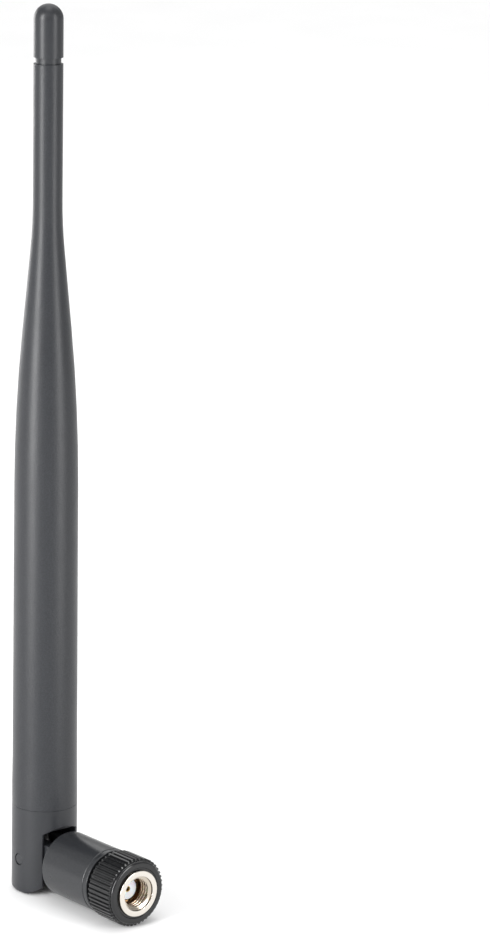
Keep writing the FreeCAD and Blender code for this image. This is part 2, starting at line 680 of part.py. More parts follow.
def coupling_nut():
    flange_start = PIVOT_TO_MOUTH - NUT_FLANGE
    flange = turned_x([
        (flange_start, 0), (flange_start, NUT_FLANGE_D / 2),
        (PIVOT_TO_MOUTH, NUT_FLANGE_D / 2, FACE_EDGE), (PIVOT_TO_MOUTH, 0),
    ])
    return hexagon(HEX_FLATS, NUT_REAR, flange_start).fuse(flange).cut(nut_bore())


def ribbed_bar(start, end):
    """Bar along X whose outline is a ring of ribs with sloping sides."""
    pitch = 2 * math.pi / RIB_COUNT
    crest = pitch * RIB_CREST_SHARE / 2
    root = pitch * (1 - RIB_ROOT_SHARE) / 2
    corners = []
    for i in range(RIB_COUNT):
        for offset, diameter in ((-root, RIB_ROOT_D), (-crest, RIB_CREST_D),
                                 (crest, RIB_CREST_D), (root, RIB_ROOT_D)):
            angle = i * pitch + offset
            radius = diameter / 2
            corners.append(Vector(start, radius * math.cos(angle), radius * math.sin(angle)))
    corners.append(corners[0])
    return Part.Face(Part.makePolygon(corners)).extrude(X_AXIS * (end - start))


def knurled_cover():
    crest_r = RIB_CREST_D / 2
    root_r = RIB_ROOT_D / 2
    lip_r = COVER_LIP_D / 2
    rib_end = COVER_END - COVER_LIP
    height = crest_r - root_r
    envelope = turned_x([
        (COVER_START, 0), (COVER_START, root_r - COVER_REAR_EDGE),
        (COVER_START + COVER_REAR_EDGE + height, crest_r), (rib_end - height, crest_r),
        (rib_end, root_r), (rib_end, 0),
    ])
    ribs = ribbed_bar(COVER_START, rib_end).common(envelope)
    lip = turned_x([
        (rib_end, 0), (rib_end, lip_r), (COVER_END, lip_r, COVER_LIP_EDGE), (COVER_END, 0),
    ])
    flange_start = PIVOT_TO_MOUTH - NUT_FLANGE
    pocket = hexagon(HEX_FLATS, NUT_REAR, flange_start)
    counterbore = tube_x(NUT_FLANGE_D / 2, 0, flange_start, PIVOT_TO_MOUTH)
    web_hole = tube_x(COVER_WEB_D / 2, 0, COVER_START - 1, NUT_REAR)
    return ribs.fuse(lip).cut(pocket).cut(counterbore).cut(web_hole).removeSplitter()


# ---- Output --------------------------------------------------------------------------------
def lower_spacer_start():
    return LOWER_START + LOWER_SPACER_SHARE * LOWER_RADIATOR


def upper_spacer_start():
    return COIL_END + UPPER_SPACER_SHARE * (UPPER_END - COIL_END)


PIECES = {
    "radome": radome(),
    "tip_cap": tip_cap(),
    "knuckle": knuckle(),
    "hinge_pin_left": hinge_pin(1),
    "hinge_pin_right": hinge_pin(-1),
    "coax_whip_jacket": coax_whip_jacket(),
    "coax_whip_braid": coax_whip_braid(),
    "coax_whip_dielectric": coax_whip_dielectric(),
    "coax_whip_conductor": coax_whip_conductor(),
    "dipole_sleeve": dipole_sleeve(),
    "sleeve_solder": sleeve_solder(),
    "sleeve_bush": sleeve_bush(),
    "feed_solder": feed_solder(),
    "lower_radiator": lower_radiator(),
    "phasing_coil": phasing_coil(),
    "upper_radiator": upper_radiator(),
    "wire_spacer_lower": wire_spacer(lower_spacer_start()),
    "wire_spacer_upper": wire_spacer(upper_spacer_start()),
    "swivel_half_upper": swivel_half(1),
    "swivel_half_lower": swivel_half(-1),
    "coax_swivel": coax_swivel(),
    "coax_bend": coax_bend(),
    "barrel": barrel(),
    "connector_bush": connector_bush(),
    "connector_body": connector_body(),
    "connector_dielectric": connector_dielectric(),
    "centre_contact": centre_contact(),
    "retaining_ring": retaining_ring(),
    "crimp_ferrule": crimp_ferrule(),
    "coax_tail_jacket": coax_tail_jacket(),
    "coax_tail_braid": coax_tail_braid(),
    "coax_tail_dielectric": coax_tail_dielectric(),
    "coax_tail_conductor": coax_tail_conductor(),
    "coupling_nut": coupling_nut(),
    "knurled_cover": knurled_cover(),
}

os.makedirs("parts", exist_ok=True)
TO_ROW_FRAME = X_AXIS * -THREAD_FRONT
for name, shape in PIECES.items():
    solid = shape.Solids[0] if len(shape.Solids) == 1 else shape
    placed = solid.translated(TO_ROW_FRAME)
    if len(placed.Solids) != 1 or not placed.isValid():
        raise ValueError(f"{name}: {len(placed.Solids)} solids, valid {placed.isValid()}")
    placed.exportStep(f"parts/{name}.step")
    print(f"{name:22s} {placed.Volume:9.2f} mm3")
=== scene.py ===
import math

import bmesh
import bpy
import numpy as np
from mathutils import Matrix, Vector


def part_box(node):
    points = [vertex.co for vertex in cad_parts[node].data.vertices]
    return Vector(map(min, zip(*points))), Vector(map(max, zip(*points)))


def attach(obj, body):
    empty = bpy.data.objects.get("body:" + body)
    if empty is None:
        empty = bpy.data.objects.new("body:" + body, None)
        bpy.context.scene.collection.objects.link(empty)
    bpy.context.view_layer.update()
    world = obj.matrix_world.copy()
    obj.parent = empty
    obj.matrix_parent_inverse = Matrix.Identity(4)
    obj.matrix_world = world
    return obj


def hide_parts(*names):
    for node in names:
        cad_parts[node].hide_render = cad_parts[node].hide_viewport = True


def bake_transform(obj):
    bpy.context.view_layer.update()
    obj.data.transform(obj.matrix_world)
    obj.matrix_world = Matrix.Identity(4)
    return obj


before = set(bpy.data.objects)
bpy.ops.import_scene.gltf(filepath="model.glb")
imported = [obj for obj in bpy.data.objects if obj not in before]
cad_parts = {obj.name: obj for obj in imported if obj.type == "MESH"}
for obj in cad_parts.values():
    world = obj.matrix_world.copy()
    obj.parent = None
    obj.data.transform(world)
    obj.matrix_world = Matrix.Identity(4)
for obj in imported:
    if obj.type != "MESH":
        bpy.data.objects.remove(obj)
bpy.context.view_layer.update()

# A tilting whip antenna with a reverse-polarity SMA plug. The CAD frame gives every place; this
# script rebuilds the pieces that show, gives all of them their finish, and sets up the studio.
# The barrel and the plug lie along X, and the whip stands along Z. All sizes are in metres.

MM = 0.001
DEG = math.pi / 180

# ---- Fineness of the meshes ----------------------------------------------------------------
SEGMENTS = 144               # round a turned piece
ARC_STEP = 12 * DEG          # turn of one facet in a rounded corner
MIN_ARC_STEPS = 4
SHARP_ANGLE = 34 * DEG
CABLE_SEGMENTS = 32          # round the cable
CABLE_RINGS = 40             # along the cable's bend
ON_AXIS = 1e-9               # a smaller radius is a single point

# ---- Whip ----------------------------------------------------------------------------------
FLARE_LENGTH = 10 * MM       # the radome narrows over this length above the seam
FLARE_START = FLARE_LENGTH / 3
STEM_R = 6.41 * MM
SHOULDER_R = 6.2 * MM
SHOULDER_HEIGHT = 98.5 * MM  # above the foot
TAPER_TOP_HEIGHT = 134.6 * MM
SHOULDER_BLEND = 340 * MM
TAPER_BLEND = 100 * MM
RADOME_WALL = 1.2 * MM
SEAM_BREAK = 0.04 * MM
CAP_LENGTH = 10.2 * MM       # groove's upper edge to the tip
GROOVE_DEPTH = 0.4 * MM
GROOVE_CORNER = 0.08 * MM
DOME_SHARE = 0.999           # the dome's radius as a share of the cap's, just short of the axis
PIN_EDGE = 0.28 * MM
CABLE_R = 0.9 * MM
CABLE_BEND_R = 4.6 * MM

# ---- Barrel and bush -----------------------------------------------------------------------
FLANGE_RUNNING = 0.05 * MM   # the swivel's flange in the barrel's bore
LIP_STEP = 0.2 * MM
BARREL_LIP_LENGTH = 1.85 * MM
BARREL_LIP_EDGE = 0.12 * MM
RIM_EDGE = 0.5 * MM
RIM_LINE_WIDTH = 0.22 * MM
SMALL_EDGE = 0.06 * MM
BARREL_FRONT_EDGE = 0.4 * MM
BUSH_RING_R = 6.4 * MM
BUSH_FLANGE = 1 * MM
BUSH_EDGE = 0.2 * MM
BUSH_FIT = 0.02 * MM
COLLAR_R = 2.9 * MM
COLLAR_IN_BUSH = 5 * MM
FERRULE_ROOM_R = 1.93 * MM

# ---- Knurled cover -------------------------------------------------------------------------
RIB_COUNT = 45
RIB_SAMPLES = 12             # mesh columns for each rib
RIB_CREST_R = 6.85 * MM
RIB_ROOT_R = 6.45 * MM
RIB_FLANK_LEVEL = 0.16       # height on a cosine wave where a rib's flank starts
RIB_FLANK_RISE = 0.6         # share of the wave's height that the flank covers
RIB_FADE = 0.16 * MM         # length over which a rib rises at each end
RIB_FADE_RINGS = 7
COVER_REAR_EDGE = 0.12 * MM
COVER_LIP = 0.6 * MM         # smooth lip in front of the ribs
COVER_LIP_R = 6.35 * MM
COVER_LIP_EDGE = 0.45 * MM
COVER_STEP_R = 5.15 * MM     # fine step in the front face
COVER_STEP = 0.1 * MM
COVER_WEB_R = 3.8 * MM

# ---- Coupling nut --------------------------------------------------------------------------
HEX_FLATS = 8 * MM
NUT_FLANGE = 1 * MM
MOUTH_R = 3.5 * MM
MOUTH_DEPTH = 0.4 * MM       # straight part of the mouth, in front of the lead-in cone
LEAD_IN = 0.255 * MM         # length of the cone
THREAD_MINOR_R = 2.845 * MM
THREAD_MAJOR_R = 3.175 * MM
THREAD_PITCH = 0.7056 * MM
THREAD_TURNS = 3.35
THREAD_STATIONS = 20         # mesh rings for each turn
THREAD_CREST_SHARE = 0.3
THREAD_RUNOUT = 0.5          # turns over which the thread fades out at its rear end
RELIEF_R = 3.3 * MM
NUT_COLLAR = 2.2 * MM
NUT_RUNNING = 0.07 * MM
FACE_EDGE = 0.12 * MM

# ---- Camera --------------------------------------------------------------------------------
CAMERA_PLACE = Vector((551.9, -450.5, 263.9)) * MM
CAMERA_AZIMUTH = 49.2 * DEG
CAMERA_PITCH = 14.16 * DEG
CAMERA_ROLL = 1.04 * DEG
CAMERA_LENS = 147.1
CAMERA_SENSOR = 36

# ---- Places from the frame -----------------------------------------------------------------
RADOME_LOW, RADOME_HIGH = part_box("radome")
WHIP_X = (RADOME_LOW.x + RADOME_HIGH.x) / 2
BODY_R = (RADOME_HIGH.x - RADOME_LOW.x) / 2
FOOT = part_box("knuckle")[0].z
AXIS_HEIGHT = 0.0


# ---- Meshes --------------------------------------------------------------------------------
def rounded_corner(before, corner, after, radius):
    """Points of the arc that rounds one corner of an outline."""
    to_before = (before - corner).normalized()
    to_after = (after - corner).normalized()
    half = to_before.angle(to_after) / 2
    centre = corner + (to_before + to_after).normalized() * (radius / math.sin(half))
    first = corner + to_before * (radius / math.tan(half)) - centre
    last = corner + to_after * (radius / math.tan(half)) - centre
    turn = math.pi - 2 * half
    steps = max(MIN_ARC_STEPS, math.ceil(turn / ARC_STEP))
    points = []
    for i in range(steps + 1):
        share = i / steps
        spoke = first * math.sin((1 - share) * turn) + last * math.sin(share * turn)
        points.append(centre + spoke / math.sin(turn))
    return points


def outline(corners):
    """Closed outline from (along, radius) or (along, radius, corner radius) points."""
    places = [Vector(c[:2]) for c in corners]
    points = []
    for i, corner in enumerate(corners):
        if len(corner) > 2:
            after = places[(i + 1) % len(places)]
            points += rounded_corner(places[i - 1], places[i], after, corner[2])
        else:
            points.append(places[i])
    return points


def on_axis(axis, along, radius, angle):
    """Point at this angle round an axis of the antenna."""
    across = radius * math.cos(angle)
    up = radius * math.sin(angle)
    if axis == "X":
        return (along, across, AXIS_HEIGHT + up)
    if axis == "Y":
        return (WHIP_X + across, along, AXIS_HEIGHT + up)
    return (WHIP_X + across, up, along)


def mesh_from_rings(name, axis, rings):
    """Closed mesh from (along, radii) rings. A ring of one radius of 0 is a single vertex."""
    bm = bmesh.new()
    loops = []
    for along, radii in rings:
        if len(radii) == 1:
            loops.append([bm.verts.new(on_axis(axis, along, 0, 0))])
            continue
        step = 2 * math.pi / len(radii)
        loops.append([bm.verts.new(on_axis(axis, along, r, i * step)) for i, r in enumerate(radii)])
    for low, high in zip(loops, loops[1:] + loops[:1]):
        join_loops(bm, low, high)
    return finished_mesh(name, bm)


def join_loops(bm, low, high):
    """Band of faces between two rings, or a fan where one of them is a single vertex."""
    count = max(len(low), len(high))
    if count == 1:
        return
    for i in range(count):
        j = (i + 1) % count
        corners = [low[i % len(low)], low[j % len(low)], high[j % len(high)], high[i % len(high)]]
        bm.faces.new(list(dict.fromkeys(corners)))


def finished_mesh(name, bm):
    """Mesh with outward normals, smooth except at its real edges."""
    bmesh.ops.recalc_face_normals(bm, faces=bm.faces)
    for face in bm.faces:
        face.smooth = True
    mesh = bpy.data.meshes.new(name)
    bm.to_mesh(mesh)
    bm.free()
    mesh.set_sharp_from_angle(angle=SHARP_ANGLE)
    return mesh


def turned(name, axis, corners):
    """Mesh of an outline turned about an axis."""
    rings = []
    for along, radius in outline(corners):
        radii = [0.0] if radius < ON_AXIS else [radius] * SEGMENTS
        rings.append((along, radii))
    return mesh_from_rings(name, axis, rings)


def add_piece(mesh, body, slot, *nodes):
    """Piece that rides on a body, takes a slot's finish and stands for CAD nodes."""
    piece = bpy.data.objects.new(mesh.name, mesh)
    bpy.context.scene.collection.objects.link(piece)
    mesh.materials.append(FINISHES[slot])
    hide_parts(*nodes)
    if body:
        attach(piece, body)
    weighted = piece.modifiers.new("even_shading", "WEIGHTED_NORMAL")
    weighted.keep_sharp = True
    return piece


# ---- Finishes ------------------------------------------------------------------------------
NOISE_SPREAD = (0.3, 0.7)    # a noise pattern mostly stays between these values
TURNING_MARK = 0.05 * MM
TURNING_DEPTH = 0.004 * MM


class Finish:
    """A material being built, with its textures placed in the row frame."""

    def __init__(self, name, metallic=0.0, specular=0.5):
        self.material = bpy.data.materials.new(name)
        self.material.use_nodes = True
        self.nodes = self.material.node_tree.nodes
        self.links = self.material.node_tree.links
        self.shader = self.nodes["Principled BSDF"]
        self.shader.inputs["Metallic"].default_value = metallic
        self.shader.inputs["Specular IOR Level"].default_value = specular
        self.place = self.nodes.new("ShaderNodeTexCoord").outputs["Object"]
        self.normal = None

    def stretched(self, stretch):
        mapping = self.nodes.new("ShaderNodeMapping")
        mapping.inputs["Scale"].default_value = stretch
        self.links.new(self.place, mapping.inputs["Vector"])
        return mapping.outputs["Vector"]

    def noise(self, size, detail=2.0, stretch=None):
        """Soft noise with lumps of about this size."""
        noise = self.nodes.new("ShaderNodeTexNoise")
        noise.inputs["Scale"].default_value = 1 / size
        noise.inputs["Detail"].default_value = detail
        source = self.stretched(stretch) if stretch else self.place
        self.links.new(source, noise.inputs["Vector"])
        return noise.outputs["Fac"]

    def cells(self, size, feature="F1"):
        """Distance pattern of cells of about this size."""
        cells = self.nodes.new("ShaderNodeTexVoronoi")
        cells.feature = feature
        cells.inputs["Scale"].default_value = 1 / size
        self.links.new(self.place, cells.inputs["Vector"])
        return cells.outputs["Distance"]

    def turning_marks(self, size, distortion):
        """Fine marks round the plug's axis."""
        wave = self.nodes.new("ShaderNodeTexWave")
        wave.wave_type = "RINGS"
        wave.rings_direction = "X"
        wave.inputs["Scale"].default_value = 1 / size
        wave.inputs["Distortion"].default_value = distortion
        self.links.new(self.place, wave.inputs["Vector"])
        return wave.outputs["Fac"]

    def ranged(self, source, source_range, result_range):
        """A pattern mapped from one range of values to another."""
        mapped = self.nodes.new("ShaderNodeMapRange")
        mapped.inputs["From Min"].default_value = source_range[0]
        mapped.inputs["From Max"].default_value = source_range[1]
        mapped.inputs["To Min"].default_value = result_range[0]
        mapped.inputs["To Max"].default_value = result_range[1]
        self.links.new(source, mapped.inputs["Value"])
        return mapped.outputs["Result"]

    def colour(self, source, source_range, first, last):
        """Base colour between two colours, over a pattern's range."""
        mix = self.nodes.new("ShaderNodeMix")
        mix.data_type = "RGBA"
        mix.inputs["A"].default_value = (*first, 1)
        mix.inputs["B"].default_value = (*last, 1)
        factor = self.ranged(source, source_range, (0, 1))
        self.links.new(factor, mix.inputs["Factor"])
        colours = [o for o in mix.outputs if o.type == "RGBA"]
        self.links.new(colours[0], self.shader.inputs["Base Color"])

    def roughness(self, source, source_range, result_range):
        rough = self.ranged(source, source_range, result_range)
        self.links.new(rough, self.shader.inputs["Roughness"])

    def bump(self, source, depth, strength=1.0):
        """Fine relief of this depth, on top of any added before."""
        bump = self.nodes.new("ShaderNodeBump")
        bump.inputs["Distance"].default_value = depth
        bump.inputs["Strength"].default_value = strength
        self.links.new(source, bump.inputs["Height"])
        if self.normal:
            self.links.new(self.normal, bump.inputs["Normal"])
        self.normal = bump.outputs["Normal"]
        self.links.new(self.normal, self.shader.inputs["Normal"])


# Colour at places along the plug: nickel's own colour on the face, painted shade and a painted dark
# reflection on the straight mouth's wall, and painted shade, darker and browner, deep in the bore.
NICKEL_AND_PAINTED_SHADE_BY_DEPTH = (
    # Every stop but the last is painted: painted shade, darker and browner, in the bore, and
    # painted shade with a dark reflection on the mouth's wall. The last stop is the plate's own
    # colour.
    (-2.4 * MM, (0.42, 0.32, 0.23)), (-0.3 * MM, (0.52, 0.45, 0.37)),
    (0.22 * MM, (0.50, 0.45, 0.38)), (0.27 * MM, (0.10, 0.08, 0.06)),
    (0.54 * MM, (0.10, 0.08, 0.06)), (0.60 * MM, (0.68, 0.64, 0.585)),
)


def radome_plastic():
    """Charcoal moulding with a spark-eroded texture."""
    finish = Finish("radome_plastic", specular=0.42)
    grain = finish.noise(0.26 * MM, detail=3)
    cloud = finish.noise(9 * MM, detail=2)
    finish.colour(grain, (0.3, 0.72), (0.013, 0.0142, 0.0168), (0.023, 0.0245, 0.0285))
    finish.roughness(cloud, NOISE_SPREAD, (0.33, 0.39))
    finish.bump(grain, 0.05 * MM, 0.5)
    finish.bump(finish.cells(0.4 * MM), 0.03 * MM, 0.25)
    return finish.material


def smooth_plastic():
    """The same moulding, with a finer texture."""
    finish = Finish("smooth_plastic", specular=0.42)
    grain = finish.noise(0.16 * MM, detail=3)
    cloud = finish.noise(6 * MM, detail=2)
    finish.colour(grain, NOISE_SPREAD, (0.015, 0.0162, 0.0188), (0.021, 0.0224, 0.026))
    finish.roughness(cloud, NOISE_SPREAD, (0.34, 0.40))
    finish.bump(grain, 0.02 * MM, 0.35)
    return finish.material


def barrel_plastic():
    """Satin moulding with a fine grain."""
    finish = Finish("barrel_plastic", specular=0.44)
    grain = finish.noise(0.12 * MM, detail=3)
    cloud = finish.noise(4 * MM, detail=2)
    finish.colour(grain, NOISE_SPREAD, (0.014, 0.015, 0.017), (0.021, 0.0222, 0.0248))
    finish.roughness(cloud, NOISE_SPREAD, (0.21, 0.28))
    finish.bump(grain, 0.02 * MM, 0.35)
    return finish.material


def knurl_plastic():
    """Near-black moulding, glossy on its smooth lip."""
    finish = Finish("knurl_plastic", specular=0.46)
    grain = finish.noise(0.14 * MM, detail=3)
    cloud = finish.noise(1.6 * MM, detail=2)
    finish.colour(cloud, NOISE_SPREAD, (0.006, 0.0063, 0.0068), (0.010, 0.0104, 0.0112))
    finish.roughness(cloud, NOISE_SPREAD, (0.09, 0.15))
    finish.bump(grain, 0.015 * MM, 0.3)
    return finish.material


def metal(name, dark, light, rough):
    """Turned and plated metal, with turning marks round the plug's axis."""
    finish = Finish(name, metallic=1.0)
    cloud = finish.noise(0.8 * MM, detail=3)
    marks = finish.turning_marks(TURNING_MARK, distortion=0.6)
    finish.colour(cloud, NOISE_SPREAD, dark, light)
    finish.roughness(marks, (0, 1), rough)
    finish.bump(marks, TURNING_DEPTH, 0.25)
    return finish.material


def nickel():
    """Bright plate on the face, with painted shade and a painted dark reflection on the straight
    mouth's wall, and painted shade, darker and browner, deep in the bore.
    """
    finish = Finish("nickel", metallic=1.0)
    marks = finish.turning_marks(TURNING_MARK, distortion=0.6)
    depth = finish.nodes.new("ShaderNodeSeparateXYZ")
    finish.links.new(finish.place, depth.inputs["Vector"])
    ramp = finish.nodes.new("ShaderNodeValToRGB")
    span = NICKEL_AND_PAINTED_SHADE_BY_DEPTH[-1][0] - NICKEL_AND_PAINTED_SHADE_BY_DEPTH[0][0]
    stops = ramp.color_ramp.elements
    stops.remove(stops[1])
    for place, colour in NICKEL_AND_PAINTED_SHADE_BY_DEPTH:
        share = (place - NICKEL_AND_PAINTED_SHADE_BY_DEPTH[0][0]) / span
        stop = stops.new(share) if share > 0 else stops[0]
        stop.color = (*colour, 1)
    ends = (NICKEL_AND_PAINTED_SHADE_BY_DEPTH[0][0], NICKEL_AND_PAINTED_SHADE_BY_DEPTH[-1][0])
    finish.links.new(finish.ranged(depth.outputs["X"], ends, (0, 1)), ramp.inputs["Fac"])
    finish.links.new(ramp.outputs["Color"], finish.shader.inputs["Base Color"])
    finish.roughness(marks, (0, 1), (0.10, 0.18))
    finish.bump(marks, TURNING_DEPTH, 0.25)
    return finish.material


def gold():
    return metal("gold", (0.86, 0.60, 0.24), (0.96, 0.74, 0.36), (0.16, 0.26))


def brass():
    return metal("brass", (0.66, 0.50, 0.24), (0.78, 0.61, 0.33), (0.22, 0.34))


def spring_steel():
    return metal("spring_steel", (0.40, 0.40, 0.41), (0.52, 0.52, 0.53), (0.22, 0.32))


def copper():
    """Drawn wire, with faint lines along it and a few darker tarnished spots."""
    finish = Finish("copper", metallic=1.0)
    tarnish = finish.noise(1.2 * MM, detail=4)
    finish.colour(tarnish, (0.35, 0.7), (0.86, 0.50, 0.34), (0.66, 0.33, 0.20))
    finish.roughness(tarnish, NOISE_SPREAD, (0.18, 0.36))
    finish.bump(finish.noise(0.06 * MM, stretch=(1, 1, 0.05)), 0.005 * MM, 0.4)
    return finish.material


def solder():
    finish = Finish("solder", metallic=1.0)
    frost = finish.noise(0.12 * MM, detail=4)
    finish.colour(frost, NOISE_SPREAD, (0.52, 0.52, 0.54), (0.70, 0.70, 0.71))
    finish.roughness(frost, NOISE_SPREAD, (0.3, 0.5))
    finish.bump(finish.noise(0.35 * MM), 0.04 * MM, 0.4)
    return finish.material


def tinned_braid():
    """Fine wires woven over each other, as a pattern of small crossing ridges."""
    finish = Finish("tinned_braid", metallic=1.0)
    weave = finish.cells(0.16 * MM, "SMOOTH_F1")
    finish.colour(weave, (0.1, 0.6), (0.78, 0.77, 0.74), (0.34, 0.33, 0.32))
    finish.roughness(weave, (0, 1), (0.22, 0.45))
    finish.bump(weave, 0.08 * MM, 0.7)
    return finish.material


def cable_jacket():
    """Black extruded jacket, glossy, with faint waves along it."""
    finish = Finish("cable_jacket", specular=0.55)
    streak = finish.noise(0.9 * MM, detail=3)
    finish.colour(streak, NOISE_SPREAD, (0.012, 0.012, 0.013), (0.022, 0.022, 0.023))
    finish.roughness(streak, NOISE_SPREAD, (0.24, 0.36))
    finish.bump(finish.noise(0.5 * MM), 0.02 * MM, 0.3)
    return finish.material


def ptfe():
    """White insulator, waxy and slightly translucent, with turning marks."""
    finish = Finish("ptfe", specular=0.4)
    marks = finish.turning_marks(0.09 * MM, distortion=0.8)
    finish.colour(marks, (0, 1), (0.78, 0.81, 0.85), (0.84, 0.87, 0.91))
    finish.roughness(marks, (0, 1), (0.36, 0.46))
    finish.bump(marks, 0.006 * MM, 0.3)
    finish.shader.inputs["Subsurface Weight"].default_value = 0.25
    finish.shader.inputs["Subsurface Scale"].default_value = 0.4 * MM
    return finish.material


def clear_insulator():
    finish = Finish("clear_insulator", specular=0.5)
    cloud = finish.noise(0.7 * MM, detail=3)
    finish.colour(cloud, NOISE_SPREAD, (0.72, 0.70, 0.63), (0.82, 0.80, 0.74))
    finish.roughness(cloud, NOISE_SPREAD, (0.22, 0.34))
    finish.shader.inputs["Subsurface Weight"].default_value = 0.3
    finish.shader.inputs["Subsurface Scale"].default_value = 0.5 * MM
    return finish.material


def foam():
    """Closed-cell foam."""
    finish = Finish("foam", specular=0.2)
    pores = finish.cells(0.35 * MM)
    finish.colour(pores, (0, 0.6), (0.46, 0.44, 0.41), (0.74, 0.72, 0.68))
    finish.roughness(pores, (0, 1), (0.75, 0.95))
    finish.bump(pores, 0.15 * MM, 0.8)
    return finish.material


FINISHES = {maker.__name__: maker() for maker in (
    radome_plastic, smooth_plastic, barrel_plastic, knurl_plastic, nickel, ptfe, gold, brass,
    copper, tinned_braid, solder, cable_jacket, clear_insulator, spring_steel, foam,
)}


def finish_frame():
    """Gives each CAD node the finish of its slot."""
    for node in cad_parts.values():
        for holder in node.material_slots:
            holder.material = FINISHES[holder.material.name.split(".")[0]]


# ---- Whip ----------------------------------------------------------------------------------
def radome():
    seam = RADOME_LOW.z
    top = RADOME_HIGH.z
    shoulder = FOOT + SHOULDER_HEIGHT
    taper_top = FOOT + TAPER_TOP_HEIGHT
    tip_low, tip_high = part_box("tip_cap")
    tip_r = (tip_high.x - tip_low.x) / 2
    mesh = turned("radome_shell", "Z", [
        (seam, BODY_R - SEAM_BREAK), (seam + SEAM_BREAK, BODY_R),
        (seam + FLARE_START, BODY_R, FLARE_LENGTH),
        (seam + FLARE_LENGTH, STEM_R, FLARE_LENGTH),
        (shoulder, SHOULDER_R, SHOULDER_BLEND), (taper_top, tip_r, TAPER_BLEND),
        (top, tip_r, SEAM_BREAK), (top, tip_r - RADOME_WALL), (taper_top, tip_r - RADOME_WALL),
        (shoulder, SHOULDER_R - RADOME_WALL), (seam, STEM_R - RADOME_WALL),
    ])
    add_piece(mesh, "whip", "radome_plastic", "radome")


def tip_cap():
    low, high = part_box("tip_cap")
    radius = (high.x - low.x) / 2
    spigot_r = radius - RADOME_WALL - BUSH_FIT
    skirt = high.z - CAP_LENGTH
    neck_r = radius - GROOVE_DEPTH
    mesh = turned("tip_cap_shell", "Z", [
        (low.z, 0), (low.z, spigot_r, SMALL_EDGE), (RADOME_HIGH.z, spigot_r),
        (RADOME_HIGH.z, neck_r), (skirt, neck_r, GROOVE_CORNER), (skirt, radius, SEAM_BREAK),
        (high.z, radius, radius * DOME_SHARE), (high.z, 0),
    ])
    add_piece(mesh, "whip", "smooth_plastic", "tip_cap")


def hinge_pin(side):
    node = f"hinge_pin_{side}"
    low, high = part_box(node)
    radius = (high.z - low.z) / 2
    mesh = turned(f"pin_{side}", "Y", [
        (low.y, 0), (low.y, radius, PIN_EDGE), (high.y, radius, PIN_EDGE), (high.y, 0),
    ])
    add_piece(mesh, "whip", "smooth_plastic", node)


def coax_bend():
    """Cable round the hinge, bent through a quarter turn."""
    centre = Vector((WHIP_X + CABLE_BEND_R, 0, CABLE_BEND_R))
    bm = bmesh.new()
    loops = []
    for i in range(CABLE_RINGS + 1):
        turn = i / CABLE_RINGS * math.pi / 2
        spoke = Vector((-math.sin(turn), 0, -math.cos(turn)))
        middle = centre + spoke * CABLE_BEND_R
        loop = []
        for j in range(CABLE_SEGMENTS):
            angle = 2 * math.pi * j / CABLE_SEGMENTS
            offset = spoke * math.cos(angle) + Vector((0, 1, 0)) * math.sin(angle)
            loop.append(bm.verts.new(middle + offset * CABLE_R))
        loops.append(loop)
    for low, high in zip(loops, loops[1:]):
        join_loops(bm, low, high)
    bm.faces.new(loops[0])
    bm.faces.new(loops[-1])
    piece = add_piece(finished_mesh("coax_round_hinge", bm), None, "cable_jacket", "coax_bend")
    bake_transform(piece)


# ---- Barrel --------------------------------------------------------------------------------
def barrel():
    low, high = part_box("barrel")
    bore_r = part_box("swivel_half_upper")[1].z + FLANGE_RUNNING
    lip_r = bore_r - LIP_STEP
    line_r = (BODY_R + lip_r + RIM_LINE_WIDTH) / 2
    line_in = line_r - RIM_LINE_WIDTH
    lip_end = low.x + BARREL_LIP_LENGTH
    mesh = turned("barrel_shell", "X", [
        (low.x, BODY_R, RIM_EDGE), (high.x, BODY_R, BARREL_FRONT_EDGE),
        (high.x, bore_r), (lip_end, bore_r), (lip_end, lip_r),
        (low.x, lip_r, BARREL_LIP_EDGE), (low.x, line_in, SMALL_EDGE),
        (low.x + RIM_LINE_WIDTH, line_in), (low.x + RIM_LINE_WIDTH, line_r),
        (low.x, line_r, SMALL_EDGE),
    ])
    add_piece(mesh, "barrel", "barrel_plastic", "barrel")


def connector_bush():
    low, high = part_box("connector_bush")
    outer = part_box("swivel_half_upper")[1].z + FLANGE_RUNNING - BUSH_FIT
    flange = high.x - BUSH_FLANGE
    collar_end = high.x - COLLAR_IN_BUSH
    mesh = turned("bush_ring", "X", [
        (low.x, outer, SMALL_EDGE), (flange, outer), (flange, BUSH_RING_R),
        (high.x, BUSH_RING_R, BUSH_EDGE), (high.x, COLLAR_R), (collar_end, COLLAR_R),
        (collar_end, FERRULE_ROOM_R), (low.x, FERRULE_ROOM_R),
    ])
    add_piece(mesh, "barrel", "barrel_plastic", "connector_bush")


# ---- Coupling nut --------------------------------------------------------------------------
def angles(count):
    return np.arange(count) * 2 * math.pi / count


def hex_radii(count):
    """Radius of a hexagon with two flats facing up and down, at each angle."""
    sector = math.pi / 3
    turn = np.mod(angles(count) + sector / 2 - math.pi / 2, sector) - sector / 2
    return HEX_FLATS / 2 / np.cos(turn)


def round_rings(points, count):
    """Round rings through the points of an outline."""
    return [(along, np.full(count, radius)) for along, radius in points]


def eased(share):
    """Smooth rise from 0 to 1."""
    return share * share * (3 - 2 * share)


def rib_shape(count):
    """0 at the roots and 1 on the crests, with rounded flanks."""
    wave = 0.5 + 0.5 * np.cos(angles(count) * RIB_COUNT)
    return eased(np.clip((wave - RIB_FLANK_LEVEL) / RIB_FLANK_RISE, 0, 1))


def rib_rings(start, end, count):
    """Rings of the ribs between two places, rising out of the root circle at each end."""
    ribs = rib_shape(count) * (RIB_CREST_R - RIB_ROOT_R)
    fade = [(share * RIB_FADE, RIB_ROOT_R + ribs * eased(share))
            for share in np.linspace(0, 1, RIB_FADE_RINGS)]
    rear = [(start + inward, radii) for inward, radii in fade]
    return rear + [(end - inward, radii) for inward, radii in reversed(fade)]


